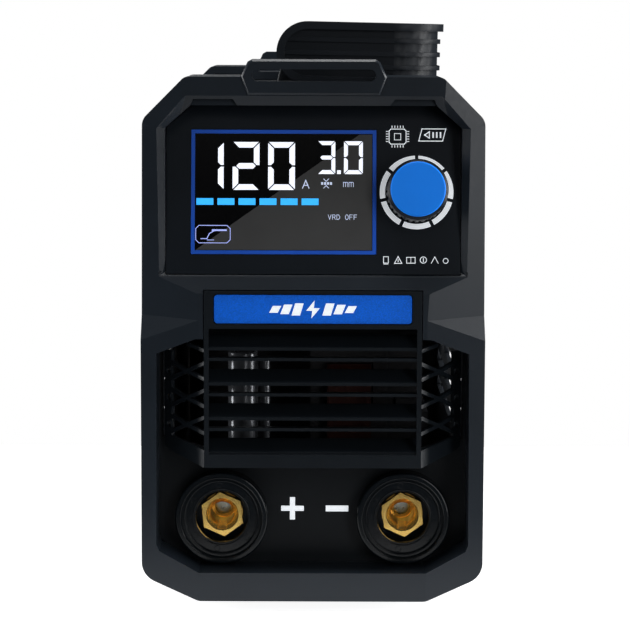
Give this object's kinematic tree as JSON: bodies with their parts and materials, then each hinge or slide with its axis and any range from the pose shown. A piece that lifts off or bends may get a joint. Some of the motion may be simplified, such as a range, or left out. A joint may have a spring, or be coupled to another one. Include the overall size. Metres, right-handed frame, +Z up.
{
  "type": "stick welding inverter",
  "caption": "Compact stick welding inverter with tilted control console, louvred air inlet, two weld cable sockets, rear fan and a folding carrying handle",
  "frame": {"origin": "middle of the machine's footprint, on the ground under the feet", "axes": "+X to the operator's right, +Y to the rear, +Z up"},
  "size_m": [0.13, 0.2785, 0.2241],
  "materials": {
    "bezel_plastic": "fine-grained moulded charcoal plastic",
    "plate_blue": "satin blue with a fine texture",
    "fascia_black": "smooth black film",
    "frame_blue": "printed blue border",
    "screen_black": "dark glossy screen",
    "lcd_grey": "module case",
    "circuit_board": "green laminate",
    "component_black": "black moulded casing",
    "board_black": "black laminate",
    "sheet_dark": "insulating fibre sheet",
    "plated_steel": "zinc plated",
    "knob_black": "fluted black plastic",
    "knob_blue": "satin blue plastic",
    "white_print": "white print",
    "socket_black": "glass-filled black plastic",
    "brass": "turned brass",
    "shell_charcoal": "fine-textured powder coat",
    "handle_plastic": "ribbed moulded plastic",
    "foot_rubber": "black rubber",
    "capacitor_sleeve": "light grey sleeve",
    "sink_aluminium": "extruded",
    "relay_case": "blue case",
    "ferrite": "dark ferrite",
    "copper": "enamelled copper"
  },
  "bodies": {
    "case": {"front_bezel": "bezel_plastic", "rear_bezel": "bezel_plastic", "front_panel": "bezel_plastic", "vent_grille": "bezel_plastic", "name_plate": "plate_blue", "control_fascia": "fascia_black", "display_frame": "frame_blue", "display_window": "screen_black", "lcd_module": "lcd_grey", "control_board": "circuit_board", "encoder_body": "component_black", "dial_ring": "white_print", "socket_housing_plus": "socket_black", "socket_housing_minus": "socket_black", "socket_insert_plus": "brass", "socket_insert_minus": "brass", "socket_nuts": "socket_black", "socket_bolts": "plated_steel", "polarity_marks": "white_print", "upper_shell": "shell_charcoal", "base_tray": "shell_charcoal", "feet": "foot_rubber", "foot_screws": "plated_steel", "rear_panel": "shell_charcoal", "fan_guard": "plated_steel", "fan_frame": "component_black", "fan_screws": "plated_steel", "switch_body": "component_black", "gland_body": "socket_black", "gland_cap": "socket_black", "gland_lock_nut": "component_black", "earth_stud": "plated_steel", "earth_nut": "plated_steel", "handle_brackets": "shell_charcoal", "handle_pins": "plated_steel", "rest_pads": "foot_rubber", "main_board": "circuit_board", "board_standoffs": "brass", "capacitors": "capacitor_sleeve", "heat_sink_left": "sink_aluminium", "heat_sink_right": "sink_aluminium", "transistors": "component_black", "rectifier_bridge": "component_black", "softstart_relay": "relay_case", "driver_board": "board_black", "insulation_sheet": "sheet_dark", "transformer_core": "ferrite", "transformer_winding": "copper", "choke_core": "ferrite", "choke_winding": "copper", "busbar_plus": "copper", "busbar_minus": "copper", "cover_screws": "plated_steel"},
    "handle_body": {"handle": "handle_plastic"},
    "knob_push": {"encoder_plunger": "knob_black"},
    "knob": {"encoder_shaft": "plated_steel", "knob_skirt": "knob_black", "knob_cap": "knob_blue"},
    "fan": {"fan_rotor": "component_black"},
    "rocker": {"switch_rocker": "component_black"}
  },
  "joints": [
    {"name": "handle_fold", "type": "hinge", "parent": "case", "child": "handle_body", "pos_m": [-0.0025, 0, 0.212], "axis": [0, -1, 0], "range_deg": [0, 182.2]},
    {"name": "knob_press", "type": "slide", "parent": "case", "child": "knob_push", "axis": [0, 0.9866, -0.1633], "range_m": [0, 0.0006], "stiffness_N_per_m": 800, "springref_m": -0.0006},
    {"name": "knob_turn", "type": "hinge", "parent": "knob_push", "child": "knob", "pos_m": [0.0389, -0.12329, 0.15998], "axis": [0, 0.9866, -0.1633], "continuous": true},
    {"name": "fan_spin", "type": "hinge", "parent": "case", "child": "fan", "pos_m": [0, 0.10315, 0.072], "axis": [0, 1, 0], "continuous": true},
    {"name": "power_rocker", "type": "hinge", "parent": "case", "child": "rocker", "pos_m": [-0.028, 0.11615, 0.152], "axis": [1, 0, 0], "range_deg": [0, 24]}
  ]
}
